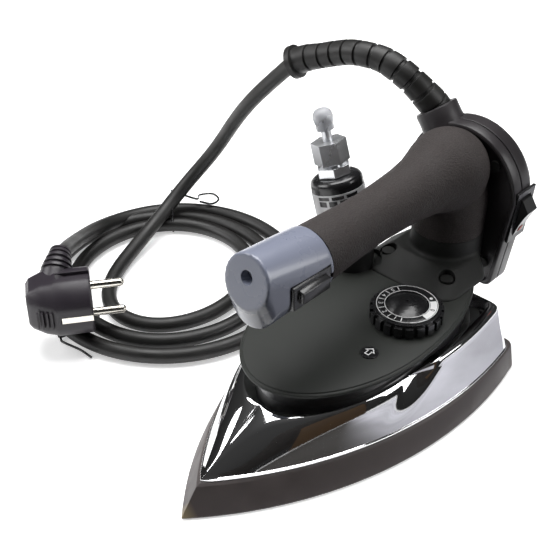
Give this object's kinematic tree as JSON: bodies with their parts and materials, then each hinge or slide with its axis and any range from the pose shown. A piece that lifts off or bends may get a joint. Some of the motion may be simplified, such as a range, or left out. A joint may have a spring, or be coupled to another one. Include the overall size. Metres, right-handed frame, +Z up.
{
  "type": "electric steam hand iron",
  "caption": "Pointed boiler-fed steam hand iron with a solenoid valve, foam grip, dial, and a coiled mains cord with an earthed plug.",
  "frame": {"origin": "on the sole's underside, on the centre plane, half way along the sole", "axes": "+Z up, nose toward -Y, +X on the left of the person holding the iron"},
  "size_m": [0.2894, 0.2349, 0.1581],
  "materials": {
    "sole_coating": "dark matt coated casting",
    "plated_cover": "mirror plating",
    "skirt_black": "black moulded body",
    "shield_grey": "satin dark grey plate",
    "black_gloss": "glossy black moulding",
    "print_white": "printed silver-white marks",
    "grip_foam": "fine pebbled foam",
    "cap_grey": "blue-grey satin moulding",
    "housing_charcoal": "charcoal satin moulding",
    "cord_rubber": "matt black rubber",
    "plug_plastic": "charcoal moulded plug",
    "nickel": "nickel plated",
    "nut_steel": "bright zinc plated steel",
    "label_silver": "silver-white label",
    "clear_cap": "translucent white plastic",
    "brass": "machined brass",
    "element_steel": "heat-darkened steel tube",
    "lid_aluminium": "rolled aluminium",
    "mica": "pressed mica and glass sheet",
    "ceramic": "white ceramic",
    "copper": "enamelled copper winding",
    "inner_plastic": "black glass-filled plastic",
    "lead_red": "silicone lead insulation"
  },
  "bodies": {
    "iron": {"soleplate": "sole_coating", "heating_element": "element_steel", "steam_chamber_lid": "lid_aluminium", "insulation_sheet": "mica", "thermal_fuse": "ceramic", "chrome_cover": "plated_cover", "under_body": "skirt_black", "heat_shield": "shield_grey", "pointer_badge": "black_gloss", "thermostat_body": "ceramic", "steam_pipe": "brass", "valve_block": "skirt_black", "solenoid_case": "black_gloss", "solenoid_coil": "copper", "solenoid_label": "label_silver", "inlet_stem": "nut_steel", "lock_nut": "nut_steel", "compression_nut": "nut_steel", "inlet_tube": "nut_steel", "handle_base": "skirt_black", "saddle_screws": "nut_steel", "handle_core": "inner_plastic", "handle_grip": "grip_foam", "nose_cap": "cap_grey", "cap_screw": "nut_steel", "microswitch": "inner_plastic", "handle_leads": "lead_red", "housing_front": "housing_charcoal", "housing_rear": "housing_charcoal", "housing_screws": "nut_steel", "terminal_block": "ceramic", "rocker_bezel": "black_gloss", "cord_clamp": "inner_plastic", "strain_relief": "cord_rubber", "cord_lead": "cord_rubber", "cord_coil": "cord_rubber", "cord_tail": "cord_rubber", "plug_body": "plug_plastic", "plug_pins": "nickel", "plug_earth_strips": "nickel", "twist_ties": "black_gloss"},
    "dial_knob": {"thermostat_spindle": "nut_steel", "dial": "black_gloss", "dial_scale_ring": "print_white", "dial_cap": "black_gloss"},
    "steam_button": {"steam_button": "black_gloss"},
    "power_rocker": {"rocker": "black_gloss"},
    "valve_plunger": {"solenoid_plunger": "nut_steel", "plunger_spring": "nut_steel"},
    "inlet_dust_cap": {"dust_cap": "clear_cap"}
  },
  "joints": [
    {"name": "dial_turn", "type": "hinge", "parent": "iron", "child": "dial_knob", "pos_m": [0.0205, 0.041, 0.06], "axis": [0, 0, 1], "range_deg": [-102, 116]},
    {"name": "button_press", "type": "slide", "parent": "iron", "child": "steam_button", "axis": [-1, 0, 0], "range_m": [0, 0.002], "stiffness_N_per_m": 400},
    {"name": "rocker_tilt", "type": "hinge", "parent": "iron", "child": "power_rocker", "pos_m": [0.03121, 0.1213, 0.0846], "axis": [0, -1, 0], "range_deg": [0, 24]},
    {"name": "plunger_lift", "type": "slide", "parent": "iron", "child": "valve_plunger", "axis": [-0.3007, 0, 0.9537], "range_m": [0, 0.002], "stiffness_N_per_m": 100},
    {"name": "dust_cap_off", "type": "slide", "parent": "iron", "child": "inlet_dust_cap", "axis": [-0.3007, 0, 0.9537], "range_m": [0, 0.012]}
  ]
}
